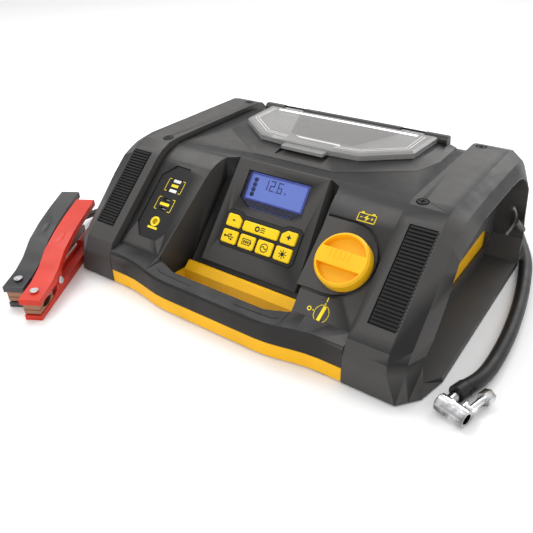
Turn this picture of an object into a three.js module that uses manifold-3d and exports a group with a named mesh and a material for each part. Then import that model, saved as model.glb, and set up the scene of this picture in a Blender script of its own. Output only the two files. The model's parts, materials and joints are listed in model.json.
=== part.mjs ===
// A jump starter pack: battery, air compressor, work light and battery clamps in one portable box.
// Millimetres, +X to the user's right, +Y to the back, +Z up. The origin is on the ground under the box's middle.
import * as THREE from "three";
import { mergeVertices } from "three/addons/utils/BufferGeometryUtils.js";
import Module from "manifold-3d";

const wasm = await Module();
wasm.setup();

// ---------------------------------------------------------------- driving dimensions
const gap = 0.35; // clearance between touching pieces
const wall = 3; // moulded wall thickness
const footHeight = 1.5;
const bodyHalf = 132.8; // half width of the housing between the end caps
const capStart = 133.2; // inner face of an end cap
const capPanel = 168; // bottom of the recess in an end cap's side
const capShoulder = 169; // where an end cap's outer chamfer starts
const bodyTop = 114;
const capTop = 119.6;
const tubTop = 15.2; // top edge of the yellow tub's front and side walls
const barBottom = 15.7;
const faceHeight = 145.8; // the sloped faces: z = faceHeight + faceSlope * y
const faceSlope = 0.87;
const capFaceHeight = 155; // the end caps stand proud of the faces
const consoleHeight = 138; // the console: z = consoleHeight + consoleSlope * y
const consoleSlope = 1.3;
const trenchDepth = 8.5; // from the console's surface to the trench floor, square to the surface
const frontEdge = -135.2;
const handleBow = 8.3; // how far the carry handle bows forward in the middle
const holeBack = -95.5; // front face of the tub's wall behind the hand hole

// ---------------------------------------------------------------- colours and finishes
function finish(color, roughness, metalness = 0, opacity = 1) {
  const material = new THREE.MeshStandardMaterial({ color, roughness, metalness });
  material.opacity = opacity;
  material.transparent = opacity < 1;
  return material;
}
const darkPlastic = finish(0x2b2b2d, 0.62);
const blackPlastic = finish(0x151516, 0.7);
const yellowPlastic = finish(0xf2b80f, 0.5);
const blackRubber = finish(0x121213, 0.85);
const redPlastic = finish(0xc8281e, 0.45);
const copper = finish(0xa8714f, 0.35, 0.9);
const chrome = finish(0xd8d8da, 0.12, 1);
const steel = finish(0xa5a7a9, 0.35, 1);
const silverPlastic = finish(0xb9b9bb, 0.3, 0.4);
const clearPlastic = finish(0xdfe3e6, 0.08, 0, 0.35);
const displayBlue = finish(0x6e80dc, 0.3);
const boardGreen = finish(0x1f5a36, 0.55);
const batteryGrey = finish(0x3c4046, 0.6);

// ---------------------------------------------------------------- making solids
function solidOf(geometry) {
  const plain = geometry.clone();
  plain.deleteAttribute("normal");
  plain.deleteAttribute("uv");
  const merged = mergeVertices(plain, 1e-4);
  const build = (triVerts) =>
    new wasm.Manifold(
      new wasm.Mesh({ numProp: 3, vertProperties: merged.attributes.position.array, triVerts }),
    );
  const triangles = new Uint32Array(merged.index.array);
  const solid = build(triangles);
  return solid.volume() < 0 ? build(triangles.reverse()) : solid;
}

function geometryOf(solid) {
  const { vertProperties, triVerts } = solid.getMesh();
  const geometry = new THREE.BufferGeometry();
  geometry.setAttribute("position", new THREE.BufferAttribute(vertProperties, 3));
  geometry.setIndex(new THREE.BufferAttribute(triVerts, 1));
  const faceted = geometry.toNonIndexed();
  faceted.computeVertexNormals();
  return faceted;
}

function moved(solid, matrix) {
  return solid.transform(matrix.elements);
}

// An outline of [a, b] points, extruded along +Z.
function alongZ(outline, low, high) {
  const shape = new THREE.Shape(outline.map(([a, b]) => new THREE.Vector2(a, b)));
  const geometry = new THREE.ExtrudeGeometry(shape, { depth: high - low, bevelEnabled: false });
  return solidOf(geometry.translate(0, 0, low));
}

// An outline of [y, z] points, extruded along +X.
const cyclic = new THREE.Matrix4().set(0, 0, 1, 0, 1, 0, 0, 0, 0, 1, 0, 0, 0, 0, 0, 1);
function alongX(outline, low, high) {
  return moved(alongZ(outline, low, high), cyclic);
}

function box(x0, x1, y0, y1, z0, z1) {
  const geometry = new THREE.BoxGeometry(x1 - x0, y1 - y0, z1 - z0);
  return solidOf(geometry.translate((x0 + x1) / 2, (y0 + y1) / 2, (z0 + z1) / 2));
}

// A round bar or cone from one point to another.
function rod(from, to, radius, endRadius = radius, sides = 16) {
  const start = new THREE.Vector3(...from);
  const end = new THREE.Vector3(...to);
  const axis = end.clone().sub(start);
  const geometry = new THREE.CylinderGeometry(endRadius, radius, axis.length(), sides);
  const turn = new THREE.Quaternion().setFromUnitVectors(new THREE.Vector3(0, 1, 0), axis.clone().normalize());
  geometry.applyQuaternion(turn);
  const middle = start.add(end).multiplyScalar(0.5);
  return solidOf(geometry.translate(middle.x, middle.y, middle.z));
}

// A closed solid through rings of [x, y, z] points that all hold the same number of points.
// flat says which two coordinates to look at when the end rings are filled in.
function loft(rings, flat) {
  const count = rings[0].length;
  const indices = [];
  for (let r = 0; r + 1 < rings.length; r++) {
    for (let i = 0; i < count; i++) {
      const j = (i + 1) % count;
      const [a, b, c, d] = [r * count + i, r * count + j, (r + 1) * count + i, (r + 1) * count + j];
      indices.push(a, b, d, a, d, c);
    }
  }
  const fill = (ring, offset, isStart) => {
    const contour = ring.map((p) => new THREE.Vector2(p[flat[0]], p[flat[1]]));
    const reverse = THREE.ShapeUtils.isClockWise(contour) !== isStart;
    for (const [a, b, c] of THREE.ShapeUtils.triangulateShape(contour, [])) {
      indices.push(offset + a, offset + (reverse ? c : b), offset + (reverse ? b : c));
    }
  };
  fill(rings[0], 0, true);
  fill(rings.at(-1), (rings.length - 1) * count, false);
  const geometry = new THREE.BufferGeometry();
  geometry.setAttribute("position", new THREE.Float32BufferAttribute(rings.flat(2), 3));
  geometry.setIndex(indices);
  return solidOf(geometry);
}

// The outline moved inwards by a distance, corner by corner.
function inset(outline, distance) {
  const area = outline.reduce((sum, [a, b], i) => {
    const [c, d] = outline[(i + 1) % outline.length];
    return sum + a * d - c * b;
  }, 0);
  const side = Math.sign(area) * distance;
  return outline.map((corner, i) => {
    const here = new THREE.Vector2(...corner);
    const before = new THREE.Vector2(...outline[(i + outline.length - 1) % outline.length]);
    const after = new THREE.Vector2(...outline[(i + 1) % outline.length]);
    const inwards = here.clone().sub(before).normalize();
    const outwards = after.sub(here).normalize();
    const normalIn = new THREE.Vector2(-inwards.y, inwards.x);
    const normalOut = new THREE.Vector2(-outwards.y, outwards.x);
    const bisector = normalIn.clone().add(normalOut).normalize();
    const reach = side / Math.max(0.35, bisector.dot(normalIn));
    return [here.x + bisector.x * reach, here.y + bisector.y * reach];
  });
}

function arc(centreA, centreB, radius, fromDegrees, toDegrees, steps) {
  return Array.from({ length: steps + 1 }, (_, i) => {
    const angle = THREE.MathUtils.degToRad(fromDegrees + ((toDegrees - fromDegrees) * i) / steps);
    return [centreA + radius * Math.cos(angle), centreB + radius * Math.sin(angle)];
  });
}

function mirrored(points) {
  return [...points, ...points.toReversed().map(([x, y]) => [-x, y])];
}

function union(...solids) {
  return solids.reduce((sum, solid) => sum.add(solid));
}

const root = new THREE.Group();
function place(name, solid, material, group = root) {
  const mesh = new THREE.Mesh(geometryOf(solid), material);
  mesh.name = name;
  group.add(mesh);
}

// A group whose local X is the part's X, local Y runs up a slope and local Z stands out of it.
function slopeFrame(height, slope) {
  const up = new THREE.Vector3(0, 1, slope).normalize();
  const out = new THREE.Vector3(0, -up.z, up.y);
  const matrix = new THREE.Matrix4().makeBasis(new THREE.Vector3(1, 0, 0), up, out);
  return matrix.setPosition(0, 0, height);
}
const faceFrame = slopeFrame(faceHeight, faceSlope);
const capFaceFrame = slopeFrame(capFaceHeight, faceSlope);
const consoleFrame = slopeFrame(consoleHeight, consoleSlope);
function groupOn(matrix) {
  const group = new THREE.Group();
  group.applyMatrix4(matrix);
  root.add(group);
  return group;
}

// ---------------------------------------------------------------- outlines that several pieces share
const slopeAngle = THREE.MathUtils.radToDeg(Math.atan(faceSlope));

// Side view of the housing behind the handle: sloped face, rounded shoulder, flat top, rounded back.
function housingOutline(shrink, low) {
  const shoulder = 54;
  const backRadius = 28;
  const backWall = 138;
  const centreZ = bodyTop - shoulder;
  const lean = THREE.MathUtils.degToRad(90 + slopeAngle);
  const tangentZ = centreZ + shoulder * Math.sin(lean);
  const centreY = (tangentZ - faceHeight) / faceSlope - shoulder * Math.cos(lean);
  const front = -123 + shrink * 1.7;
  const drop = shrink / Math.cos(THREE.MathUtils.degToRad(slopeAngle));
  return [
    [front, low],
    [front, faceHeight + faceSlope * front - drop],
    ...arc(centreY, centreZ, shoulder - shrink, 90 + slopeAngle, 90, 5),
    ...arc(backWall - backRadius, bodyTop - backRadius, backRadius - shrink, 90, 0, 4),
    [backWall - shrink, low],
  ];
}

// Plan view of the trenches and console: wider towards the front, down to the handle's back edge.
const trenchPlan = mirrored([
  [51, -16.5],
  [64.5, -25],
  [67, -34],
  [76.5, -118],
  [76.5, -124],
]);
const trenchPlanWide = mirrored([
  [55, -13],
  [68, -22],
  [70.5, -32],
  [80, -118],
  [80, -126],
]);
const handHolePlan = mirrored([
  [70, holeBack],
  [76.3, -117],
  [76.3, -124],
]);
const lensPlan = mirrored([
  [27, 21.5],
  [57, 24.2],
  [98.5, 57],
  [101.5, 107.7],
]);

// Front edge of the handle bar and of the tub's lip: straight at the ends, bowed in the middle.
function bowedFront(x) {
  const t = THREE.MathUtils.clamp((112 - Math.abs(x)) / 60, 0, 1);
  return frontEdge - handleBow * t * t * (3 - 2 * t);
}
const barStations = [-bodyHalf, -112, -100, -90, -79, -74, -64, -52, -26, 0, 26, 52, 64, 74, 79, 90, 100, 112, bodyHalf];

// Everything in front of a sloped console surface that lies a given depth under the console.
function aboveConsole(plan, depth) {
  const under = moved(box(-200, 200, -400, 300, -400, -depth), consoleFrame);
  return alongZ(plan, -10, 160).subtract(under);
}

// ---------------------------------------------------------------- lower tub, yellow
const earFace = capPanel - 4.1; // the tub's ears stand inside the end caps, behind their windows

function baseTub() {
  const lip = loft(
    barStations.map((x) => {
      const front = bowedFront(x);
      return [
        [x, front, footHeight],
        [x, front, tubTop],
        [x, front + 10, tubTop],
        [x, front + 10, footHeight],
      ];
    }),
    [1, 2],
  );
  const tray = box(-bodyHalf, bodyHalf, -127, 138, footHeight, tubTop);
  const inside = box(-bodyHalf + wall, bodyHalf - wall, -118, 138 - wall, footHeight + wall, 60);
  const fingerRoom = alongZ(
    mirrored([
      [70, holeBack],
      [76.5, -117],
      [76.5, -132.5],
    ]),
    -5,
    60,
  );
  const holeWall = alongX(
    [
      [holeBack, footHeight],
      [holeBack, 17.5],
      [-88.5, 23.5],
      [-85.6, 23.5],
      [-85.6, footHeight],
    ],
    -70,
    70,
  );
  const holeSide = (side) => box(Math.min(side * 70, side * 79), Math.max(side * 70, side * 79), -127, -86, footHeight, tubTop);
  const ear = (side) => {
    const shelf = box(128, earFace, -116, 114, 6, 9);
    const band = alongX(
      [
        [-116, 6],
        [-116, 22],
        [-78, 50],
        [112, 50],
        [127, 34],
        [127, 26],
        [114, 6],
      ],
      earFace - wall,
      earFace,
    );
    const both = shelf.add(band);
    return side > 0 ? both : both.mirror([1, 0, 0]);
  };
  const shell = tray.subtract(inside);
  return union(shell, lip, holeSide(1), holeSide(-1), ear(1), ear(-1)).subtract(fingerRoom).add(holeWall);
}

// ---------------------------------------------------------------- upper housing, dark
const lensHingeY = 113.2;
const lensHingeZ = 120.6;
const lensRest = 118.2; // top of the collar that the lens sits on
const knobX = 104.4;
const knobS = -108.4;
const plateau = { x: 97.2, s: -104.6, radius: 32.4, rise: 1.5 };
const portPanel = { x0: -123.5, x1: -83.7, s0: -146, s1: -65, depth: 3.2 };
const usbPlaces = [
  { x: -101.2, s: -86.4, step: 5.4, width: 12.4, height: 4.6 },
  { x: -102.6, s: -107.6, step: 5, width: 9, height: 3.4 },
];
const jackPlace = [-103.2, -127.3];
const screwY = [-25.5, 118.4];
const hingeArms = [
  [-86, -60],
  [60, 86],
];

function handleBar() {
  const back = (x) => {
    const reach = Math.abs(x);
    if (reach >= 79) return [-118.5, 41.5];
    const t = THREE.MathUtils.clamp((74 - reach) / 22, 0, 1);
    return [-118.5 - 7 * t, 38.4 - 1.8 * t];
  };
  return loft(
    barStations.map((x) => {
      const front = bowedFront(x);
      const [backY, backZ] = back(x);
      const rise = 2.2 * THREE.MathUtils.clamp((Math.abs(x) - 60) / 40, 0, 1);
      return [
        [x, front, barBottom],
        [x, front, 25.5],
        [x, front + 0.4, 32 + rise],
        [x, front + 2.2, 34.2 + rise],
        [x, backY - 2, backZ - 0.6],
        [x, backY, backZ - 2.2],
        [x, backY, barBottom],
      ];
    }),
    [1, 2],
  );
}

const bezelOutline = mirrored([
  [36.5, -39.5],
  [36.5, -68],
  [24.5, -75.5],
]);
const padOutline = mirrored([
  [21.5, -84],
  [27.5, -81.2],
  [41, -81.2],
  [44.5, -85],
  [44.5, -114.5],
  [40.5, -118.5],
]);
const panelOutline = (clear) => {
  const { x0, x1, s0, s1 } = portPanel;
  return inset(
    [
      [x0, s0 + 13],
      [x0 + 10, s0],
      [x1 - 7, s0],
      [x1, s0 + 9],
      [x1, s1 - 12],
      [x1 - 8, s1],
      [x0 + 14, s1],
      [x0, s1 - 13],
    ],
    clear,
  );
};

function consoleTongue() {
  const tongue = loft(
    [
      mirrored([
        [51, -24],
        [55.5, -137.5],
      ]).map(([x, s]) => [x, s, 0]),
      mirrored([
        [60, -24],
        [64.5, -137.5],
      ]).map(([x, s]) => [x, s, -trenchDepth - 3]),
    ],
    [0, 1],
  );
  return moved(tongue, consoleFrame);
}

function knobPlateau() {
  const { x, s, radius, rise } = plateau;
  const outline = (r) => [[71, s - r], ...arc(x, s, r, -90, 90, 14), [71, s + r]];
  const raised = alongZ(outline(radius), -2, rise);
  const groove = alongZ(outline(radius + 2.6), -1.6, 4).subtract(alongZ(outline(radius), -2, 5));
  return { raised: moved(raised, faceFrame), groove: moved(groove, faceFrame) };
}

function lampCollar() {
  const low = mirrored([
    [46, -2],
    [110, 42],
    [119, 72],
    [119, 117],
  ]);
  const high = mirrored([
    [58, 20.6],
    [101.5, 54],
    [105.5, 80],
    [106, 117],
  ]);
  const ring = (plan, z) => plan.map(([x, y]) => [x, y, z]);
  return loft([ring(low, bodyTop - 3), ring(low, bodyTop + 0.2), ring(high, lensRest)], [0, 1]);
}

function hingeRail() {
  const rail = alongX(
    [
      [108.5, bodyTop - 6],
      [108.5, 122.6],
      [111.2, 125.6],
      [116, 125.6],
      [119, 123],
      [122, 110],
    ],
    -111,
    111,
  );
  const pockets = hingeArms.map(([low, high]) => box(low - gap, high + gap, 105, 117.2, 116.6, 130));
  const bore = rod([-98, lensHingeY, lensHingeZ], [98, lensHingeY, lensHingeZ], 1.9, 1.9, 12);
  return { rail, cuts: union(...pockets, bore) };
}

function topHousing() {
  const step = 1.6; // the housing's ends step down beside the end caps
  const outer = alongX(housingOutline(0, barBottom), step - bodyHalf, bodyHalf - step).add(
    alongX(housingOutline(1.3, barBottom), -bodyHalf, bodyHalf),
  );
  const trench = aboveConsole(trenchPlan, trenchDepth);
  const hole = alongZ(handHolePlan, -5, 60);
  const lampWell = alongZ(inset(lensPlan, 4), 106, 130);
  const lampFloor = alongZ(inset(lensPlan, 1), 103, 130);
  const fingerRecess = alongX(
    [
      [-1.5, 119.5],
      [21, 119.5],
      [21, 114.6],
      [7, 114.6],
    ],
    -27,
    27,
  );
  const { rail, cuts } = hingeRail();
  const { raised, groove } = knobPlateau();

  const block = outer.subtract(trench).subtract(hole).add(consoleTongue().intersect(outer)).add(handleBar());
  const inside = alongX(housingOutline(wall, 5), -bodyHalf + wall, bodyHalf - wall)
    .subtract(aboveConsole(trenchPlanWide, trenchDepth + wall))
    .subtract(box(-81, 81, -130, -78, 0, 60))
    .subtract(lampFloor);
  const shell = block.add(lampCollar()).add(rail).add(raised).subtract(inside);

  const inConsole = union(
    alongZ(bezelOutline, -6.5, 5),
    alongZ(padOutline, -3.6, 5),
  );
  const panel = portPanel;
  const inFace = union(
    alongZ(panelOutline(0), -panel.depth, 5),
    ...usbPlaces.map(({ x, s }) => box(x - 8.6, x + 8.6, s - 9.4, s + 9.4, -20, 5)),
    rod([jackPlace[0], jackPlace[1], -20], [jackPlace[0], jackPlace[1], 5], 6.2),
    rod([knobX, knobS, -20], [knobX, knobS, 5], 5.2),
  );
  const outletHole = rod([outlet.x, 125, outlet.z], [outlet.x, 150, outlet.z], 8 + gap, 8 + gap, 20);
  return shell
    .subtract(outletHole)
    .subtract(groove)
    .subtract(lampWell)
    .subtract(fingerRecess)
    .subtract(cuts)
    .subtract(moved(inConsole, consoleFrame))
    .subtract(moved(inFace, faceFrame));
}

// ---------------------------------------------------------------- end caps
// Side view of an end cap: foot block, step, slope, shoulder, flat top, rounded back, cut-away rear corner.
function capOutline() {
  const shoulder = 50;
  const centreZ = capTop - shoulder;
  const lean = THREE.MathUtils.degToRad(90 + slopeAngle);
  const tangentZ = centreZ + shoulder * Math.sin(lean);
  const centreY = (tangentZ - capFaceHeight) / faceSlope - shoulder * Math.cos(lean);
  const slopeAt = (y) => [y, capFaceHeight + faceSlope * y];
  return [
    [-135.7, footHeight],
    [-135.7, 27.5],
    [-133, 34.5],
    slopeAt(-129),
    slopeAt(-100),
    slopeAt(-76),
    ...arc(centreY, centreZ, shoulder, 90 + slopeAngle, 90, 3),
    [40, capTop],
    [96, capTop],
    ...arc(122.5, capTop - 21, 21, 90, 0, 3),
    [143.5, 60],
    [143.5, 32],
    [126, footHeight],
    [-95, footHeight],
  ];
}

// Edge of the side opening in X, Y and Z, point for point with the outline above. It flares out to a low lip.
const rim = [
  [194.6, -117.8, footHeight],
  [190, -112, 27],
  [190, -109, 37],
  [190, -96.5, 43.5],
  [190, -80, 63],
  [189.3, -65.5, 83],
  [188.5, -55.5, 92.5],
  [188, -44.5, 95],
  [188, -35, 98.5],
  [187.5, -18, 101.5],
  [187, 1, 104.3],
  [187, 81, 103],
  [187.5, 106, 101.5],
  [188.5, 118, 97.5],
  [190.5, 125, 91],
  [193, 128, 82],
  [195.5, 128.5, 50],
  [198.3, 128.5, 28],
  [200.4, 116, footHeight],
  [200.8, -90, footHeight],
];
const lip = { height: 6, floor: 7, x: 199.6, frontX: 190, frontY: -105 };
const capWindow = [
  [-30, 18],
  [-12, 38],
  [24, 44.5],
  [85, 48],
  [109, 35],
  [109, 18],
];

// A bent wire hook on the rear wall of the opening, for hanging up the hose.
function hoseHook() {
  const x = 188.5;
  const wire = [
    [85, 49.7],
    [102, 48.4],
    [113, 49.4],
    [117, 53],
    [114, 59.5],
    [102, 70],
    [88.7, 78.3],
  ];
  const bends = wire.slice(1).map(([y, z], i) => rod([x, ...wire[i]], [x, y, z], 1.7, 1.7, 10));
  return union(...bends, rod([x, 115.5, 51.5], [194, 131, 36], 4.2, 4.2, 14));
}

function endCap(side) {
  const outline = capOutline();
  const shoulderX = outline.map(([y, z]) => capShoulder + 12 * THREE.MathUtils.clamp((40 - z) / 40, 0, 1) ** 1.5);
  const rimSide = rim.map(([x, y, z]) => [y, z]);
  const lipEdge = inset(rimSide, 1.6).map(([y, z], i) => {
    const low = z < lip.height;
    return [low ? lip.x : rim[i][0] - 0.3, y, Math.max(z, lip.height)];
  });
  lipEdge[0] = [lip.frontX, lip.frontY, lip.height];
  const floorEdge = inset(rimSide, 5).map(([y, z]) => [capPanel, y, Math.max(z, lip.floor)]);
  floorEdge[0] = [capPanel, lip.frontY + 2, lip.floor];
  const ridge = outline.map(([y, z], i) => {
    const [rimX, rimY, rimZ] = rim[i];
    const swell = THREE.MathUtils.clamp((z - 8) / 18, 0, 1);
    const out = 0.5 + 0.14 * swell;
    const over = 0.5 - 0.14 * swell;
    return [shoulderX[i] + (rimX - shoulderX[i]) * out, y + (rimY - y) * over, z + (rimZ - z) * over];
  });
  const body = loft(
    [
      outline.map(([y, z]) => [capStart, y, z]),
      outline.map(([y, z], i) => [shoulderX[i], y, z]),
      ridge,
      rim,
      lipEdge,
      floorEdge,
    ],
    [1, 2],
  );
  const room = inset(outline, wall + 0.5);
  const mouth = alongX(housingOutline(2, 5), capStart - 5, capStart + 4).intersect(alongX(room, 0, 200));
  const inside = alongX(room, capStart + 2.5, capPanel - 3.7).add(mouth);
  const windowCut = alongX(capWindow, capPanel - 6, capPanel + 2);
  const padSeat = moved(box(143.2, 167.1, -154.5, -67.3, -2.6, 10), capFaceFrame);
  const screwSeats = screwY.map((y) =>
    union(
      rod([142.4, y, capTop - 2.4], [142.4, y, capTop + 5], 5.6),
      rod([142.4, y, capTop - 8], [142.4, y, capTop], 2.7, 2.7, 12),
    ),
  );
  const cuts = union(inside, windowCut, padSeat, ...screwSeats);
  const cap = body.subtract(cuts).add(hoseHook());
  return side > 0 ? cap : cap.mirror([1, 0, 0]);
}

function gripPad(side) {
  const grooves = Array.from({ length: 13 }, (_, i) => {
    const s = -150.5 + i * 6.6;
    return box(145.4, 165, s - 1.5, s + 1.5, -0.4, 3);
  });
  const pad = box(143.6, 166.7, -154.1, -67.7, -2.25, 0.5).subtract(union(...grooves));
  const placed = moved(pad, capFaceFrame);
  return side > 0 ? placed : placed.mirror([1, 0, 0]);
}

function capScrew(side, y) {
  const x = side * 142.4;
  const head = rod([x, y, capTop - 2.1], [x, y, capTop - 0.1], 5, 4.4);
  const shank = rod([x, y, capTop - 14], [x, y, capTop - 1.5], 2.2, 2.2, 10);
  const slot = union(
    box(x - 3, x + 3, y - 0.6, y + 0.6, capTop - 1.3, capTop + 1),
    box(x - 0.6, x + 0.6, y - 3, y + 3, capTop - 1.3, capTop + 1),
  );
  return head.add(shank).subtract(slot);
}

// ---------------------------------------------------------------- console: display and keypad
const rowTop = { low: -98.6, high: -85.8 };
const rowLow = { low: -115.2, high: -101.6 };
const keyCorner = 1.4;

function keyOutline(x0, x1, s0, s1, cut = 0) {
  const c = keyCorner;
  const leftCut = cut < 0 ? 5.5 : c;
  const rightCut = cut > 0 ? 5.5 : c;
  return [
    [x0 + c, s0],
    [x1 - c, s0],
    [x1, s0 + c],
    [x1, s1 - rightCut * 0.75],
    [x1 - rightCut, s1],
    [x0 + leftCut, s1],
    [x0, s1 - leftCut * 0.75],
    [x0, s0 + c],
  ];
}
const keys = [
  { name: "key_minus", outline: keyOutline(-40.5, -23.2, rowTop.low, rowTop.high, 1) },
  { name: "key_air", outline: keyOutline(-20.6, 20.6, rowTop.low, rowTop.high - 2.6) },
  { name: "key_plus", outline: keyOutline(23.2, 40.5, rowTop.low, rowTop.high, -1) },
  { name: "key_usb", outline: keyOutline(-40.5, -22.1, rowLow.low, rowLow.high) },
  { name: "key_battery", outline: keyOutline(-19.6, -1.2, rowLow.low, rowLow.high) },
  { name: "key_alternator", outline: keyOutline(1.2, 19.6, rowLow.low, rowLow.high) },
  { name: "key_light", outline: keyOutline(22.1, 40.5, rowLow.low, rowLow.high) },
];

function addConsole() {
  const group = groupOn(consoleFrame);
  place("lcd_window", alongZ(inset(bezelOutline, 0.4), -1.8, -0.5), clearPlastic, group);
  const module = alongZ(inset(bezelOutline, 0.5), -6.1, -4).add(box(-33, 33, -67.5, -41, -4.2, -2.3));
  place("lcd_module", module, displayBlue, group);
  const keyHoles = keys.map(({ outline }) => alongZ(inset(outline, -0.45), -10, 10));
  place("keypad_mat", alongZ(inset(padOutline, 0.4), -3.2, 0.8).subtract(union(...keyHoles)), blackRubber, group);
  for (const { name, outline } of keys) {
    const crown = loft(
      [
        outline.map(([x, s]) => [x, s, -1.6]),
        outline.map(([x, s]) => [x, s, 1.6]),
        inset(outline, 0.7).map(([x, s]) => [x, s, 2.3]),
      ],
      [0, 1],
    );
    place(name, crown, yellowPlastic, group);
  }
}

// ---------------------------------------------------------------- knob, ports
function addFaces() {
  const group = groupOn(faceFrame);
  const radius = 24.4;
  const low = plateau.rise + 0.5;
  const skirt = rod([knobX, knobS, low], [knobX, knobS, 12], radius, radius - 0.6, 40);
  const top = rod([knobX, knobS, 12], [knobX, knobS, 14.6], radius - 0.6, radius - 2.4, 40);
  const bowl = rod([knobX, knobS, 7.5], [knobX, knobS, 16], radius - 4.4, radius - 3.2, 36);
  const bar = box(knobX - 30, knobX + 30, knobS - 7.2, knobS + 7.2, 0, 20);
  const stem = rod([knobX, knobS, -10], [knobX, knobS, 4], 4.6);
  place("jump_start_knob", union(skirt, top).subtract(bowl.subtract(bar)).add(stem), yellowPlastic, group);

  const switchBody = union(
    box(knobX - 13, knobX + 13, knobS - 13, knobS + 13, -32, -12.5),
    rod([knobX, knobS, -13], [knobX, knobS, -10.5], 8),
  );
  place("rotary_switch", switchBody, blackPlastic, group);

  const [jackX, jackS] = jackPlace;
  const slots = usbPlaces.flatMap(({ x, s, step, width, height }) =>
    [-step, step].map((shift) => ({ x, s: s + shift, halfX: width / 2, halfS: height / 2 })),
  );
  const slotCut = ({ x, s, halfX, halfS }) => box(x - halfX, x + halfX, s - halfS, s + halfS, -10, 5);
  const jackCut = rod([jackX, jackS, -10], [jackX, jackS, 5], 5.8);
  const openings = union(...slots.map(slotCut), jackCut);
  place("port_panel", alongZ(panelOutline(0.4), -2.8, -1.2).subtract(openings), blackPlastic, group);

  usbPlaces.forEach(({ x, s, step, width, height }, i) => {
    const shell = box(x - 7.8, x + 7.8, s - 8.6, s + 8.6, -16, -3.2);
    const sockets = [-step, step].map((shift) => {
      const centre = s + shift;
      const mouth = box(x - width / 2, x + width / 2, centre - height / 2, centre + height / 2, -12, 0);
      const tongue = box(x - width / 2 + 1.4, x + width / 2 - 1.4, centre - 0.1, centre + 1.2, -13, -3.5);
      return mouth.subtract(tongue);
    });
    place(`usb_sockets_${i + 1}`, shell.subtract(union(...sockets)), steel, group);
  });

  const sleeve = rod([jackX, jackS, -16], [jackX, jackS, -0.4], 5.4);
  const bore = rod([jackX, jackS, -10], [jackX, jackS, 3], 3.1).subtract(
    rod([jackX, jackS, -14], [jackX, jackS, -2], 1, 1, 10),
  );
  place("dc_input_jack", sleeve.subtract(bore), yellowPlastic, group);
}

// ---------------------------------------------------------------- work light
function addLamp() {
  const ring = (plan, z) => plan.map(([x, y]) => [x, y, z]);
  const trayOuter = alongZ(inset(lensPlan, 4.4), 106.4, 119.6);
  const trayHollow = loft([ring(inset(lensPlan, 24), 109), ring(inset(lensPlan, 8), 122)], [0, 1]);
  place("lamp_reflector", trayOuter.subtract(trayHollow), silverPlastic);

  const board = box(-66, 66, 70, 80, 109.4, 110.8);
  const diodes = Array.from({ length: 12 }, (_, i) => {
    const x = -60.5 + i * 11;
    return box(x - 1.8, x + 1.8, 73.2, 76.8, 110.5, 112);
  });
  place("lamp_led_board", union(board, ...diodes), boardGreen);

  const low = lensRest + gap;
  const cover = loft(
    [ring(lensPlan, low), ring(lensPlan, 123.4), ring(inset(lensPlan, 2.6), 125.5)],
    [0, 1],
  );
  const hollow = alongZ(inset(lensPlan, 2.4), low - 5, 123.2);
  const tab = box(-24, 24, 12.5, 23, low + 0.4, 122.2);
  const arms = hingeArms.map(([x0, x1]) =>
    union(
      box(x0, x1, 106.5, lensHingeY, lensHingeZ - 1.6, lensHingeZ + 1.6),
      rod([x0, lensHingeY, lensHingeZ], [x1, lensHingeY, lensHingeZ], 3.2, 3.2, 14),
    ),
  );
  const bore = rod([-98, lensHingeY, lensHingeZ], [98, lensHingeY, lensHingeZ], 1.75, 1.75, 12);
  place("lamp_lens", union(cover.subtract(hollow), tab, ...arms).subtract(bore), clearPlastic);
  const pin = rod([-97.5, lensHingeY, lensHingeZ], [97.5, lensHingeY, lensHingeZ], 1.4, 1.4, 12);
  place("lamp_hinge_pin", pin, steel);
}

// ---------------------------------------------------------------- inside the box
function addInside() {
  const battery = union(
    box(-122, 29, 30, 128, 6, 94),
    box(-117, 24, 34, 124, 93, 96),
    box(-108, -98, 36, 50, 95, 98),
    box(5, 15, 36, 50, 95, 98),
  );
  place("battery", battery, batteryGrey);
  const bracket = box(-56, -36, 27.3, 130.7, 5, 99).subtract(box(-60, -30, 29.6, 128.4, 0, 96.6));
  place("battery_bracket", bracket, steel);
  const motor = union(
    rod([64, 22, 32], [64, 86, 32], 19, 19, 24),
    rod([64, 12, 32], [64, 23, 32], 6),
    box(52, 76, 30, 80, 5, 20),
  );
  place("compressor_motor", motor, steel);
  const pump = union(
    box(44, 84, 86.6, 122, 12, 52),
    rod([64, 104, 51], [64, 104, 86], 14, 14, 20),
    rod([64, 104, 85], [64, 104, 92], 17, 17, 20),
    rod([70, 104, 78], [94, 104, 78], 4, 4, 12),
  );
  place("compressor_pump", pump, steel);
  const group = groupOn(consoleFrame);
  const board = box(-50, 50, -108, -34, -16, -14.4);
  const relay = box(18, 40, -100, -82, -30, -15.8);
  const capacitors = [-34, -20].map((x) => rod([x, -92, -28], [x, -92, -15.5], 5, 5, 12));
  place("control_board", union(board, relay, ...capacitors), boardGreen, group);
}

function addFeet() {
  place("front_foot_strip", box(-118, 118, -134.5, -129.5, 0, footHeight - 0.3), blackRubber);
  place("rear_foot_strip", box(-118, 118, 118, 130, 0, footHeight - 0.3), blackRubber);
}

// ---------------------------------------------------------------- cords
// A round tube along a smooth curve through hand-chosen points.
function tube(points, radius, sides, steps) {
  const path = new THREE.CatmullRomCurve3(points.map((p) => new THREE.Vector3(...p)), false, "centripetal");
  const section = new THREE.Shape(
    Array.from({ length: sides }, (_, i) => {
      const angle = (i * 2 * Math.PI) / sides;
      return new THREE.Vector2(radius * Math.cos(angle), radius * Math.sin(angle));
    }),
  );
  return solidOf(new THREE.ExtrudeGeometry(section, { steps, extrudePath: path, bevelEnabled: false }));
}

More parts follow.
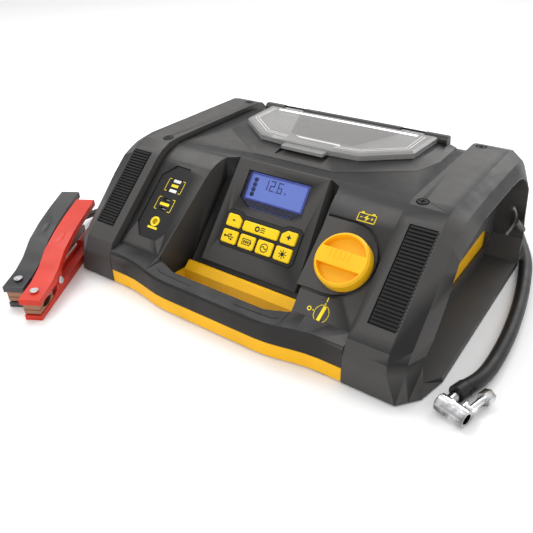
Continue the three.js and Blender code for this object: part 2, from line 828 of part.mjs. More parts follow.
const hoseRadius = 6.5;
const outlet = new THREE.Vector3(82, 141, 26); // face of the outlet flange, on the housing's back wall
const outletAxis = new THREE.Vector3(0, 0.97, -0.24).normalize();
const alongOutlet = (t) => outlet.clone().addScaledVector(outletAxis, t).toArray();
// Out of the back, round behind the right end cap and forwards along the ground beside it.
const hoseRoute = [
  [82, 165.2, 20],
  [82.8, 181, 16.1],
  [90.6, 198, 12],
  [103.4, 211.6, 9],
  [120, 219.4, 7.4],
  [137, 220.4, 6.9],
  [153, 214.6, 6.9],
  [166, 203.6, 6.9],
  [176, 189.4, 6.9],
  [184.2, 173.6, 6.9],
  [191.4, 157.4, 6.9],
  [198.4, 142, 6.9],
  [204.4, 127.4, 6.9],
  [208.9, 113, 6.9],
  [212.2, 99, 6.9],
  [217.4, 73, 6.9],
  [221.8, 47, 6.9],
  [225.2, 20, 6.9],
  [227.4, -5, 6.9],
  [228.4, -30, 6.9],
  [228.2, -52, 6.9],
  [227, -68, 7.2],
  [224.4, -81, 7.8],
  [219.9, -92.9, 8],
];

function addHose() {
  const post = rod([outlet.x, 130, outlet.z], [outlet.x, 140, outlet.z], 8, 8, 20);
  const flange = rod([outlet.x, 138 + gap, outlet.z], outlet.toArray(), 14.5, 13.6, 28);
  place("hose_outlet", post.add(flange), blackPlastic);
  place("hose_strain_relief", rod(alongOutlet(2.6), alongOutlet(24), 8.6, 7.2, 20), blackRubber);
  place("air_hose", tube(hoseRoute, hoseRadius, 10, 52), blackRubber);
  place("hose_ferrule", rod([219.6, -93.6, 8], [215.9, -104.4, 8], 7.3, 7.1, 20), blackPlastic);
}

function addChuck() {
  const group = new THREE.Group();
  group.position.set(219.5, -121, 7.6);
  group.rotation.z = THREE.MathUtils.degToRad(-15.7);
  root.add(group);
  const ears = [
    [3.2, 4.5],
    [11.3, 12.5],
  ].map(([x0, x1]) => box(x0, x1, 4, 12.6, -2.8, 2.8));
  const barrel = union(
    rod([-12.5, 0, 0], [-11.6, 0, 0], 6.4, 7.4, 28),
    rod([-11.6, 0, 0], [12.5, 0, 0], 7.4, 7.4, 28),
    rod([-7, 5, 0], [-7.4, 14.6, 0], 4.2, 4.2, 16),
    rod([-1, 0, 6], [-1, 0, 8], 2.4, 2.2, 12),
    rod([3.2, 10.2, 0], [12.5, 10.2, 0], 1, 1, 10),
    ...ears,
  );
  const mouth = rod([-1, 0, 0], [14, 0, 0], 4.6, 4.6, 20);
  place("chuck_body", barrel.subtract(mouth), chrome, group);
  const lever = union(
    rod([4.8, 10.2, 0], [11, 10.2, 0], 2.5, 2.5, 14),
    rod([7.9, 11.5, 0], [8.6, 27, 0], 2.3, 3.2, 14),
    rod([8.5, 26, 0], [8.9, 34.5, 0], 5.9, 5.9, 6),
  );
  place("chuck_lever", lever.subtract(rod([2, 10.2, 0], [14, 10.2, 0], 1.4, 1.4, 12)), chrome, group);
}

const cableRadius = 4;
const gland = { y0: -80, y1: -60, z: 12.4, blackX: -174.8, redX: -186.4 };
// The red cable turns on the inside and the black one on the outside.
const redRoute = [
  [-186.4, -38, 12.4],
  [-186.4, -15, 12.3],
  [-186.4, 15, 12.3],
  [-186.4, 45, 12.3],
  [-186.6, 66, 12.3],
  [-188.2, 80, 12.3],
  [-193.2, 91, 12.1],
  [-202, 98, 10.8],
  [-212.4, 99.4, 7],
  [-222.6, 96, 4.8],
  [-230.6, 87.6, 4.3],
  [-234.6, 75, 4.3],
  [-235.2, 55, 4.3],
  [-235.2, 25, 4.3],
  [-234.8, -5, 4.3],
  [-234, -30, 4.6],
  [-233.2, -50, 6.4],
  [-230, -67.6, 9.6],
  [-225.1, -82.6, 12.4],
  [-215.9, -99.2, 13.8],
  [-206.2, -116.7, 14.2],
];
const blackRoute = [
  [-174.8, -38, 12.4],
  [-174.8, -15, 12.3],
  [-174.8, 15, 12.3],
  [-174.8, 45, 12.3],
  [-175.2, 68, 12.3],
  [-178.2, 85.6, 12.3],
  [-185.4, 99.4, 12.3],
  [-197, 108.2, 11.2],
  [-211, 111.6, 6.8],
  [-226, 110, 4.5],
  [-240.4, 103.4, 4.3],
  [-252, 92, 4.3],
  [-259.4, 75, 4.3],
  [-262, 55, 4.3],
  [-263, 25, 4.3],
  [-263.4, -5, 4.3],
  [-263, -30, 4.8],
  [-262.4, -49, 6.8],
  [-259.6, -64, 9.8],
  [-256.2, -78.3, 12.4],
  [-247.0, -94.9, 13.8],
  [-237.3, -112.4, 14.2],
];

function addCables() {
  const body = box(-193, -capPanel - 0.4, gland.y0, gland.y1, 8.5, 22);
  const boots = [gland.redX, gland.blackX].map((x) =>
    rod([x, gland.y1 - 2, gland.z], [x, -38.4, gland.z], 5, 4.3, 14),
  );
  place("cable_gland", union(body, ...boots), blackPlastic);
  place("red_cable", tube(redRoute, cableRadius, 8, 46), redPlastic);
  place("black_cable", tube(blackRoute, cableRadius, 8, 48), blackRubber);
}

// ---------------------------------------------------------------- battery clamps
const clampTurn = THREE.MathUtils.degToRad(29);
const clampLength = 156;
const pivot = { y: 45, z: 16.5 };

function upperArm() {
  const blade = alongX(
    [
      [0, 17.4],
      [0, 23.2],
      [28, 24.6],
      [46, 29],
      [66, 38.5],
      [92, 44.2],
      [120, 47.8],
      [clampLength, 50.5],
      [clampLength, 43.8],
      [120, 40.8],
      [92, 36.8],
      [66, 31],
      [52, 24],
      [47.5, 12.8],
      [42.5, 12.8],
      [40, 17.4],
    ],
    -10.4,
    10.4,
  );
  const channel = alongX(
    [
      [36, 2],
      [36, 21],
      [46, 25],
      [66, 35],
      [92, 40.6],
      [120, 44.3],
      [clampLength + 5, 47.4],
      [clampLength + 5, 2],
    ],
    -8.6,
    8.6,
  );
  const bore = rod([-20, pivot.y, pivot.z], [20, pivot.y, pivot.z], 2.7, 2.7, 12);
  const dish = moved(
    solidOf(new THREE.SphereGeometry(30, 24, 12).scale(0.22, 0.66, 0.14)),
    new THREE.Matrix4().makeRotationX(0.2).setPosition(0, 84, 46),
  );
  const rivet = rod([0, 13, 22], [0, 13, 25.6], 4.4, 3.6, 16);
  return blade.subtract(channel).subtract(bore).subtract(dish).add(rivet);
}

function lowerArm() {
  const blade = alongX(
    [
      [0, 0.2],
      [0, 5.4],
      [30, 6.4],
      [38, 9],
      [42, 20.4],
      [48, 20.4],
      [54, 11],
      [70, 8],
      [clampLength, 8],
      [clampLength, 0.2],
    ],
    -8.3,
    8.3,
  );
  const channel = alongX(
    [
      [34, 2.8],
      [34, 40],
      [clampLength + 5, 40],
      [clampLength + 5, 2.8],
    ],
    -6.5,
    6.5,
  );
  const bore = rod([-20, pivot.y, pivot.z], [20, pivot.y, pivot.z], 2.7, 2.7, 12);
  const rivet = box(-2, 2, 8, 12, 5, 6.2);
  return blade.subtract(channel).subtract(bore).subtract(rivet);
}

// The copper jaws meet at the front and leave an oval grip between them.
function jaw(up) {
  const grip = Array.from({ length: 9 }, (_, i) => {
    const t = i / 8;
    const bite = Math.sin(Math.PI * t) * 3.4 + (i % 2 ? 0.5 : 0);
    return [8 + 17 * t, 11.4 + (up ? bite : -bite) + (up ? 0.25 : -0.25)];
  });
  const edge = 11.4 + (up ? 0.25 : -0.25);
  const back = up ? 17 : 6.9;
  return alongX([[0.8, back], [0.8, edge], ...grip, [29.6, edge], [29.6, back]], -8, 8);
}

function clampSpring() {
  const coil = rod([-5.6, pivot.y, pivot.z], [5.6, pivot.y, pivot.z], 5.6, 5.6, 20);
  const lowLeg = box(-5.6, -3.6, 46, 62, 3.4, 5.2).add(box(-5.6, -3.6, 46, 50, 3.4, 14));
  const highLeg = moved(box(3.6, 5.6, 0, 16, -1, 0.8), new THREE.Matrix4().makeRotationX(0.15).setPosition(0, 46, 20.6));
  const bore = rod([-20, pivot.y, pivot.z], [20, pivot.y, pivot.z], 3, 3, 12);
  return union(coil, lowLeg, highLeg).subtract(bore);
}

function pivotPin() {
  const shaft = rod([-11, pivot.y, pivot.z], [11, pivot.y, pivot.z], 2.3, 2.3, 12);
  const head = (x0, x1) => rod([x0, pivot.y, pivot.z], [x1, pivot.y, pivot.z], 4, 3.2, 16);
  return union(shaft, head(10.8, 12.2), head(-10.8, -12.2));
}

function addClamp(colour, x, y, material) {
  const group = new THREE.Group();
  group.position.set(x, y, 0);
  group.rotation.z = clampTurn;
  root.add(group);
  place(`${colour}_clamp_upper_arm`, upperArm(), material, group);
  place(`${colour}_clamp_lower_arm`, lowerArm(), material, group);
  place(`${colour}_clamp_upper_jaw`, jaw(true), copper, group);
  place(`${colour}_clamp_lower_jaw`, jaw(false), copper, group);
  place(`${colour}_clamp_spring`, clampSpring(), steel, group);
  place(`${colour}_clamp_pin`, pivotPin(), steel, group);
}

// ---------------------------------------------------------------- assembly
place("base_tub", baseTub(), yellowPlastic);
place("top_housing", topHousing(), darkPlastic);
for (const [label, side] of [["left", -1], ["right", 1]]) {
  place(`${label}_end_cap`, endCap(side), darkPlastic);
  place(`${label}_grip_pad`, gripPad(side), blackRubber);
  screwY.forEach((y, i) => place(`${label}_cap_screw_${i + 1}`, capScrew(side, y), blackPlastic));
}
addConsole();
addFaces();
addLamp();
addInside();
addFeet();
addHose();
addChuck();
addCables();
addClamp("red", -147.5, -222.5, redPlastic);
addClamp("black", -178.6, -218.2, blackPlastic);

export default root;
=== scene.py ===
"""The looks of a jump starter pack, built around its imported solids.

The scene is in metres, with +X to the right, +Y to the back and +Z up.
"""

import json
import math

import bmesh
import bpy
from mathutils import Matrix, Vector
from mathutils.bvhtree import BVHTree


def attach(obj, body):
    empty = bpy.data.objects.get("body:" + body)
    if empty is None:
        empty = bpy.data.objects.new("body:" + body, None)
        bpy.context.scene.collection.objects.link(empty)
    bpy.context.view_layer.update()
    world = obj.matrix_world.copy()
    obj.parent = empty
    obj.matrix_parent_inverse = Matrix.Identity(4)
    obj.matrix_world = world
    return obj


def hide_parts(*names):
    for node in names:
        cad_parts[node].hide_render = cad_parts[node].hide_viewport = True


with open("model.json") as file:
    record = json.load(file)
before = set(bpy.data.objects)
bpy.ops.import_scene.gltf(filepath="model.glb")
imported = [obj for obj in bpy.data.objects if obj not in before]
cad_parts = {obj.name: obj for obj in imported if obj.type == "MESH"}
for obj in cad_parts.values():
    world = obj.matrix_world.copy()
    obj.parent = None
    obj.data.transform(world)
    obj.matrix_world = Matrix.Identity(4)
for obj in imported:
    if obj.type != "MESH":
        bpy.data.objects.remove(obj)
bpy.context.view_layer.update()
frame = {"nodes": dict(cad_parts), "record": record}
NODES = frame["nodes"]
BODY_OF = {
    node: body
    for body, members in frame["record"]["behaviour"]["bodies"].items()
    for node in members
}
SLOT_OF = {entry["node"]: entry["material_slot"] for entry in frame["record"]["subparts"]}

# ------------------------------------------------------------------ shared dimensions
MM = 0.001
FACE_HEIGHT = 0.1458  # the sloped faces: z = FACE_HEIGHT + FACE_SLOPE * y
FACE_SLOPE = 0.87
CAP_FACE_HEIGHT = 0.155
CONSOLE_HEIGHT = 0.138
CONSOLE_SLOPE = 1.3

# Layers are (low, high) in millimetres: out of the slope they lie on, or above the ground for the lens.
FACE_PRINT = (-0.02, 0.09)
PORT_PRINT = (-1.22, -1.12)
PORT_TONGUE = (-3.1, -1.5)
KEY_PRINT = (2.25, 2.36)
DISPLAY_PRINT = (-2.28, -2.2)
DISPLAY_MASK = (-3.9, -2.6)
KNOB_RIDGE = (14.2, 14.95)
PAD_BASE = (-2.25, -1.7)
LENS_PRINT = (125.4, 125.56)

CAMERA_PLACE = (0.29403, -0.44969, 0.33494)
CAMERA_AZIMUTH = math.radians(36.365)
CAMERA_ELEVATION = math.radians(32.42)
CAMERA_ROLL = math.radians(-1.7226)
CAMERA_LENS = 39.65
SENSOR_WIDTH = 36


def slope_frame(height, slope):
    """Local Y runs up the slope and local Z stands out of it."""
    up = Vector((0, 1, slope)).normalized()
    return Matrix((
        (1, 0, 0, 0),
        (0, up.y, -up.z, 0),
        (0, up.z, up.y, height),
        (0, 0, 0, 1),
    ))


FACE = slope_frame(FACE_HEIGHT, FACE_SLOPE)
CAP_FACE = slope_frame(CAP_FACE_HEIGHT, FACE_SLOPE)
CONSOLE = slope_frame(CONSOLE_HEIGHT, CONSOLE_SLOPE)


# ------------------------------------------------------------------ camera
def make_camera():
    forward = Vector((
        -math.sin(CAMERA_AZIMUTH) * math.cos(CAMERA_ELEVATION),
        math.cos(CAMERA_AZIMUTH) * math.cos(CAMERA_ELEVATION),
        -math.sin(CAMERA_ELEVATION),
    ))
    level = Vector((math.cos(CAMERA_AZIMUTH), math.sin(CAMERA_AZIMUTH), 0))
    above = level.cross(forward)
    right = level * math.cos(CAMERA_ROLL) + above * math.sin(CAMERA_ROLL)
    up = right.cross(forward)
    data = bpy.data.cameras.new("camera")
    data.lens = CAMERA_LENS
    data.sensor_width = SENSOR_WIDTH
    camera = bpy.data.objects.new("camera", data)
    place = Matrix((right, up, -forward)).transposed().to_4x4()
    place.translation = CAMERA_PLACE
    camera.matrix_world = place
    bpy.context.scene.collection.objects.link(camera)
    bpy.context.scene.camera = camera


# ------------------------------------------------------------------ materials
def new_material(name, colour, roughness, metallic=0.0, shine=0.5):
    material = bpy.data.materials.new(name)
    material.use_nodes = True
    shader = material.node_tree.nodes["Principled BSDF"]
    shader.inputs["Base Color"].default_value = (*colour, 1)
    shader.inputs["Roughness"].default_value = roughness
    shader.inputs["Metallic"].default_value = metallic
    shader.inputs["Specular IOR Level"].default_value = shine
    return material, shader


def add_noise(tree, scale, detail=3.0, stretch=(1, 1, 1)):
    """Noise in the piece's own space. A larger value in stretch makes it finer along that axis."""
    place = tree.nodes.new("ShaderNodeTexCoord")
    mapping = tree.nodes.new("ShaderNodeMapping")
    mapping.inputs["Scale"].default_value = stretch
    noise = tree.nodes.new("ShaderNodeTexNoise")
    noise.inputs["Scale"].default_value = scale
    noise.inputs["Detail"].default_value = detail
    tree.links.new(place.outputs["Object"], mapping.inputs["Vector"])
    tree.links.new(mapping.outputs["Vector"], noise.inputs["Vector"])
    return noise.outputs["Fac"]


def vary_colour(material, shader, light, dark, scale):
    """Slow drift between two colours: close ones for the tone that moulding and handling leave, far apart
    ones for painted reflection bands on chrome.
    """
    tree = material.node_tree
    ramp = tree.nodes.new("ShaderNodeValToRGB")
    ramp.color_ramp.elements[0].position = 0.35
    ramp.color_ramp.elements[1].position = 0.65
    ramp.color_ramp.elements[0].color = (*dark, 1)
    ramp.color_ramp.elements[1].color = (*light, 1)
    tree.links.new(add_noise(tree, scale), ramp.inputs["Fac"])
    tree.links.new(ramp.outputs["Color"], shader.inputs["Base Color"])
    return ramp


def vary_roughness(material, shader, low, high, scale, stretch=(1, 1, 1)):
    """Patches a little duller and shinier, as wear leaves."""
    tree = material.node_tree
    span = tree.nodes.new("ShaderNodeMapRange")
    span.inputs["From Min"].default_value = 0.3
    span.inputs["From Max"].default_value = 0.7
    span.inputs["To Min"].default_value = low
    span.inputs["To Max"].default_value = high
    tree.links.new(add_noise(tree, scale, 4, stretch), span.inputs["Value"])
    tree.links.new(span.outputs["Result"], shader.inputs["Roughness"])


def add_grain(material, shader, scale, strength, distance=0.0002, stretch=(1, 1, 1)):
    """The fine texture of the mould."""
    tree = material.node_tree
    bump = tree.nodes.new("ShaderNodeBump")
    bump.inputs["Strength"].default_value = strength
    bump.inputs["Distance"].default_value = distance
    tree.links.new(add_noise(tree, scale, 2, stretch), bump.inputs["Height"])
    tree.links.new(bump.outputs["Normal"], shader.inputs["Normal"])


def paint_edge_highlight(material, shader, ramp, amount):
    """Painted highlight: corners and edges made a little lighter than the faces."""
    tree = material.node_tree
    geometry = tree.nodes.new("ShaderNodeNewGeometry")
    edge = tree.nodes.new("ShaderNodeMapRange")
    edge.inputs["From Min"].default_value = 0.52
    edge.inputs["From Max"].default_value = 0.62
    edge.inputs["To Max"].default_value = amount
    mix = tree.nodes.new("ShaderNodeMix")
    mix.data_type = "RGBA"
    mix.inputs["B"].default_value = (0.3, 0.29, 0.28, 1)
    tree.links.new(geometry.outputs["Pointiness"], edge.inputs["Value"])
    tree.links.new(edge.outputs["Result"], mix.inputs["Factor"])
    tree.links.new(ramp.outputs["Color"], mix.inputs["A"])
    tree.links.new(mix.outputs["Result"], shader.inputs["Base Color"])


def moulded(name, colour, roughness, grain=0.25, scale=1500, drift=0.14, edge_highlight=0.0, shine=0.3):
    """Plastic or rubber out of a textured mould."""
    material, shader = new_material(name, colour, roughness, 0.0, shine)
    light = tuple(min(1, c * (1 + drift)) for c in colour)
    dark = tuple(c * (1 - drift) for c in colour)
    ramp = vary_colour(material, shader, light, dark, 22)
    vary_roughness(material, shader, roughness - 0.06, roughness + 0.08, 60)
    add_grain(material, shader, scale, grain)
    # Painted highlight on the edges, lighter than the faces.
    if edge_highlight:
        paint_edge_highlight(material, shader, ramp, edge_highlight)
    return material


def metal(name, colour, roughness, brushed=(1, 1, 1), grain=0.1):
    """Bare metal. A larger value in brushed makes finer lines across that axis."""
    material, shader = new_material(name, colour, roughness, 1.0)
    vary_roughness(material, shader, roughness * 0.7, roughness * 1.4, 240, brushed)
    add_grain(material, shader, 900, grain, 0.00005, brushed)
    return material


def chrome_with_painted_reflection(name):
    """Plated metal with a painted reflection of a room: dark and bright bands in its colour."""
    material, shader = new_material(name, (0.8, 0.8, 0.82), 0.14, 1.0)
    # Painted reflection: bands of near white and near black in the colour.
    vary_colour(material, shader, (0.86, 0.86, 0.88), (0.16, 0.15, 0.15), 70)
    vary_roughness(material, shader, 0.1, 0.2, 160)
    return material


def see_through(name, colour, roughness, alpha):
    """Clear plastic with a hard, glossy skin."""
    material, shader = new_material(name, colour, roughness)
    shader.inputs["Alpha"].default_value = alpha
    shader.inputs["Coat Weight"].default_value = 0.25
    shader.inputs["Coat Roughness"].default_value = 0.04
    vary_roughness(material, shader, roughness, roughness + 0.08, 90)
    add_grain(material, shader, 180, 0.05)
    return material


def glowing(name, colour, strength):
    """Plastic that is lit from behind."""
    material, shader = new_material(name, colour, 0.4)
    shader.inputs["Emission Color"].default_value = (*colour, 1)
    shader.inputs["Emission Strength"].default_value = strength
    vary_roughness(material, shader, 0.3, 0.5, 120)
    return material


def make_materials():
    """One material for each slot of the pack."""
    return {
        # The housing's edges carry a painted highlight.
        "housing_black": moulded(
            "housing_plastic", (0.0135, 0.0126, 0.0125), 0.42,
            grain=0.5, scale=1300, edge_highlight=0.16, shine=0.27,
        ),
        "panel_black": moulded(
            "panel_plastic", (0.0135, 0.013, 0.013), 0.45,
            grain=0.3, drift=0.1, shine=0.27,
        ),
        "pad_rubber": moulded("pad_rubber", (0.012, 0.012, 0.012), 0.55, grain=0.3, scale=1800),
        "screw_black": metal("screw_black", (0.03, 0.03, 0.032), 0.4),
        "display_window": see_through("display_window", (0.1, 0.11, 0.2), 0.08, alpha=0.06),
        "display_blue": glowing("display_blue", (0.09, 0.14, 0.43), strength=0.5),
        "keypad_rubber": moulded("keypad_rubber", (0.016, 0.016, 0.018), 0.5, grain=0.2, scale=1800),
        "key_yellow": moulded("key_plastic", (0.97, 0.66, 0.006), 0.4, grain=0.12, scale=2200, drift=0.04),
        "knob_yellow": moulded("knob_plastic", (0.94, 0.5, 0.008), 0.38, grain=0.15, scale=1700, drift=0.05),
        "tub_yellow": moulded("tub_plastic", (0.93, 0.49, 0.006), 0.4, grain=0.22, drift=0.06),
        "switch_black": moulded("switch_plastic", (0.03, 0.03, 0.03), 0.5),
        "socket_steel": metal("socket_steel", (0.5, 0.5, 0.52), 0.35),
        "jack_yellow": moulded("jack_plastic", (0.8, 0.62, 0.03), 0.4, grain=0.1),
        "reflector_silver": metal("reflector_silver", (0.42, 0.42, 0.42), 0.38, grain=0.05),
        "board_green": moulded("board_resist", (0.02, 0.12, 0.05), 0.35, grain=0.1, scale=700, drift=0.25),
        "lens_clear": see_through("lens_plastic", (0.36, 0.355, 0.35), 0.12, alpha=0.62),
        "pin_steel": metal("pin_steel", (0.55, 0.55, 0.56), 0.3, brushed=(1, 12, 1)),
        "battery_case": moulded("battery_case", (0.05, 0.053, 0.06), 0.5),
        "pump_alloy": metal("pump_alloy", (0.5, 0.5, 0.52), 0.45),
        "foot_rubber": moulded("foot_rubber", (0.012, 0.012, 0.012), 0.75),
        "outlet_black": moulded("outlet_plastic", (0.014, 0.014, 0.014), 0.35, grain=0.15),
        "hose_rubber": moulded("hose_rubber", (0.012, 0.012, 0.013), 0.42, grain=0.3, scale=1100),
        "cable_red": moulded("cable_red", (0.42, 0.02, 0.012), 0.4, grain=0.15),
        "chuck_chrome": chrome_with_painted_reflection("chuck_chrome"),
        "clamp_red": moulded("clamp_red", (0.6, 0.03, 0.012), 0.4, scale=900, drift=0.08),
        # The black clamp's edges carry a painted highlight.
        "clamp_black": moulded(
            "clamp_black", (0.014, 0.015, 0.017), 0.38,
            scale=900, drift=0.1, edge_highlight=0.3,
        ),
        "jaw_copper": metal("jaw_copper", (0.33, 0.17, 0.11), 0.42, brushed=(1, 1, 6), grain=0.25),
    }


MATERIALS = make_materials()
INK_YELLOW = moulded("ink_yellow", (0.9, 0.68, 0.02), 0.5, grain=0.05)
INK_BLACK = moulded("ink_black", (0.01, 0.01, 0.01), 0.5, grain=0.05)
INK_BLUE = moulded("ink_blue", (0.02, 0.03, 0.14), 0.4, grain=0.05)
BORDER_BLUE = glowing("border_blue", (0.03, 0.04, 0.3), strength=0.25)
WHITE_PLASTIC = moulded("white_plastic", (0.8, 0.8, 0.78), 0.4, grain=0.05)
LED_WHITE = glowing("led_white", (0.95, 0.96, 1.0), strength=0.9)
# Painted shadow for the grooves on the handle.
PAINTED_GROOVE_SHADOW = moulded("groove_shadow", (0.006, 0.006, 0.006), 0.7, grain=0.1)
LENS_PANEL = see_through("lens_panel", (0.24, 0.225, 0.22), 0.16, alpha=0.55)
# Painted highlight for the ledge and the front bar of the lens.
LENS_HIGHLIGHT = moulded("lens_highlight", (0.72, 0.71, 0.7), 0.25, grain=0.05)
MASK_BLUE = moulded("mask_blue", (0.012, 0.012, 0.03), 0.3, grain=0.05)


# ------------------------------------------------------------------ making pieces
def add_piece(name, mesh, body, material, replaced=()):
    """A visible piece that moves with a body, and the plain solids that it stands for."""
    piece = bpy.data.objects.new(name, mesh)
    bpy.context.scene.collection.objects.link(piece)
    mesh.materials.clear()
    mesh.materials.append(material)
    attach(piece, body)
    if replaced:
        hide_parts(*replaced)
    return piece


def apply_modifiers(piece):
    """The piece gets the shape that its modifiers make."""
    bpy.context.view_layer.update()
    graph = bpy.context.evaluated_depsgraph_get()
    done = bpy.data.meshes.new_from_object(piece.evaluated_get(graph))
    piece.modifiers.clear()
    piece.data = done


def shade(mesh, degrees=35):
    """Smooth faces that break where they meet at more than the angle."""
    mesh.polygons.foreach_set("use_smooth", [True] * len(mesh.polygons))
    mesh.set_sharp_from_angle(angle=math.radians(degrees))


def soften(piece, width, segments=2, degrees=28, smooth=35):
    """Rounds every edge sharper than the angle."""
    bevel = piece.modifiers.new("soften", "BEVEL")
    bevel.width = width
    bevel.segments = segments
    bevel.limit_method = "ANGLE"
    bevel.angle_limit = math.radians(degrees)
    bevel.miter_outer = "MITER_ARC"
    apply_modifiers(piece)
    shade(piece.data, smooth)
    weighted = piece.modifiers.new("even", "WEIGHTED_NORMAL")
    weighted.keep_sharp = True
    apply_modifiers(piece)


def refine(node, width, segments=2, degrees=28, smooth=35, merge=3.0):
    """A finished piece in place of a plain solid: its flat areas made whole and its edges rounded."""
    bm = bmesh.new()
    bm.from_mesh(NODES[node].data)
    bmesh.ops.remove_doubles(bm, verts=bm.verts, dist=2e-5)
    bmesh.ops.dissolve_limit(bm, angle_limit=math.radians(merge), verts=bm.verts, edges=bm.edges)
    mesh = bpy.data.meshes.new(node + "_look")
    bm.to_mesh(mesh)
    bm.free()
    slot = SLOT_OF[node]
    piece = add_piece(node + "_look", mesh, BODY_OF[node], MATERIALS[slot], [node])
    soften(piece, width, segments, degrees, smooth)
    return piece


def solid_mesh(name, parts, matrix=None):
    """One mesh from several closed solids, each given as (points, faces) in millimetres."""
    points = []
    faces = []
    for part_points, part_faces in parts:
        start = len(points)
        points.extend(part_points)
        faces.extend([[start + i for i in face] for face in part_faces])
    mesh = bpy.data.meshes.new(name)
    mesh.from_pydata([Vector(p) * MM for p in points], [], faces)
    if matrix is not None:
        mesh.transform(matrix)
    bm = bmesh.new()
    bm.from_mesh(mesh)
    bmesh.ops.recalc_face_normals(bm, faces=bm.faces)
    bm.to_mesh(mesh)
    bm.free()
    return mesh


def loft(near, far):
    """A closed solid between two matching outlines, as (points, faces)."""
    count = len(near)
    faces = [list(range(count)), list(range(count, 2 * count))]
    for i in range(count):
        j = (i + 1) % count
        faces.append([i, j, count + j, count + i])
    return [*near, *far], faces


def prism(outline, layer):
    """An outline of (x, y) points in millimetres, through a layer."""
    low, high = layer
    return loft([(x, y, low) for x, y in outline], [(x, y, high) for x, y in outline])


def rectangle(x0, x1, y0, y1, layer):
    return prism([(x0, y0), (x1, y0), (x1, y1), (x0, y1)], layer)


def circle(x, y, radius, sides):
    """The outline of a round shape, counter-clockwise from the right."""
    outline = []
    for i in range(sides):
        angle = 2 * math.pi * i / sides
        outline.append((x + radius * math.cos(angle), y + radius * math.sin(angle)))
    return outline


def disc(x, y, radius, layer, sides=24):
    return prism(circle(x, y, radius, sides), layer)


def ring(x, y, outer, inner, layer, sides=32):
    """A flat washer through a layer."""
    low, high = layer
    points = []
    for height, radius in ((low, outer), (high, outer), (high, inner), (low, inner)):
        points += [(*corner, height) for corner in circle(x, y, radius, sides)]
    faces = []
    for level in range(4):
        a = level * sides
        b = (level + 1) % 4 * sides
        for i in range(sides):
            j = (i + 1) % sides
            faces.append([a + i, a + j, b + j, b + i])
    return points, faces


def stroke(points, width, layer):
    """A line of constant width through the points: a bar for each part, overlapping at the corners."""
    bars = []
    for (ax, ay), (bx, by) in zip(points, points[1:]):
        along = Vector((bx - ax, by - ay)).normalized() * width / 2
        side = Vector((-along.y, along.x))
        corners = [
            (ax - along.x + side.x, ay - along.y + side.y),
            (bx + along.x + side.x, by + along.y + side.y),
            (bx + along.x - side.x, by + along.y - side.y),
            (ax - along.x - side.x, ay - along.y - side.y),
        ]
        bars.append(prism(corners, layer))
    return bars


def outlined_box(x, y, left, right, half_height, width, layer):
    """The four strokes of a box, from x - left to x + right."""
    corners = [
        (x - left, y - half_height),
        (x + right, y - half_height),
        (x + right, y + half_height),
        (x - left, y + half_height),
        (x - left, y - half_height),
    ]
    return stroke(corners, width, layer)


def printed(name, parts, matrix, body, ink):
    """A thin print or small raised shape on a slope."""
    return add_piece(name, solid_mesh(name, parts, matrix), body, ink)


# ------------------------------------------------------------------ cords
def smooth_route(route, steps=6):
    """Centripetal Catmull-Rom points through the route, in millimetres."""
    places = [Vector(p) for p in route]
    first = places[0] * 2 - places[1]
    last = places[-1] * 2 - places[-2]
    padded = [first, *places, last]
    points = []
    for i in range(1, len(padded) - 2):
        p0, p1, p2, p3 = padded[i - 1:i + 3]
        t1 = (p1 - p0).length ** 0.5
        t2 = t1 + (p2 - p1).length ** 0.5
        t3 = t2 + (p3 - p2).length ** 0.5
        for k in range(steps):
            t = t1 + (t2 - t1) * k / steps
            a1 = p0 * ((t1 - t) / t1) + p1 * (t / t1)
            a2 = p1 * ((t2 - t) / (t2 - t1)) + p2 * ((t - t1) / (t2 - t1))
            a3 = p2 * ((t3 - t) / (t3 - t2)) + p3 * ((t - t2) / (t3 - t2))
            b1 = a1 * ((t2 - t) / t2) + a2 * (t / t2)
            b2 = a2 * ((t3 - t) / (t3 - t1)) + a3 * ((t - t1) / (t3 - t1))
            points.append(b1 * ((t2 - t) / (t2 - t1)) + b2 * ((t - t1) / (t2 - t1)))
    points.append(places[-1])
    return points

def tube(name, route, radius, body, slot, replaced):
    """A round cord along the route, and its length in metres."""
    curve = bpy.data.curves.new(name, "CURVE")
    curve.dimensions = "3D"
    curve.bevel_depth = radius * MM
    curve.bevel_resolution = 6
    curve.use_fill_caps = True
    points = smooth_route(route)
    spline = curve.splines.new("POLY")
    spline.points.add(len(points) - 1)
    for point, place in zip(spline.points, points):
        point.co = (*(place * MM), 1)
    spline.use_smooth = True
    piece = bpy.data.objects.new(name, curve)
    bpy.context.scene.collection.objects.link(piece)
    curve.materials.append(MATERIALS[slot])
    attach(piece, body)
    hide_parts(*replaced)
    length = sum((b - a).length for a, b in zip(points, points[1:]))
    return piece, length * MM



HOSE_RADIUS = 6.5
CABLE_RADIUS = 4
# From the outlet on the back wall, around the back corner and along the right side to the chuck.
HOSE_ROUTE = [
    (82, 165.2, 20), (82.8, 181, 16.1), (90.6, 198, 12), (103.4, 211.6, 9),
    (120, 219.4, 7.4), (137, 220.4, 6.9), (153, 214.6, 6.9), (166, 203.6, 6.9),
    (176, 189.4, 6.9), (184.2, 173.6, 6.9), (191.4, 157.4, 6.9), (198.4, 142, 6.9),
    (204.4, 127.4, 6.9), (208.9, 113, 6.9), (212.2, 99, 6.9), (217.4, 73, 6.9),
    (221.8, 47, 6.9), (225.2, 20, 6.9), (227.4, -5, 6.9), (228.4, -30, 6.9),
    (228.2, -52, 6.9), (227, -68, 7.2), (224.4, -81, 7.8), (219.9, -92.9, 8),
]
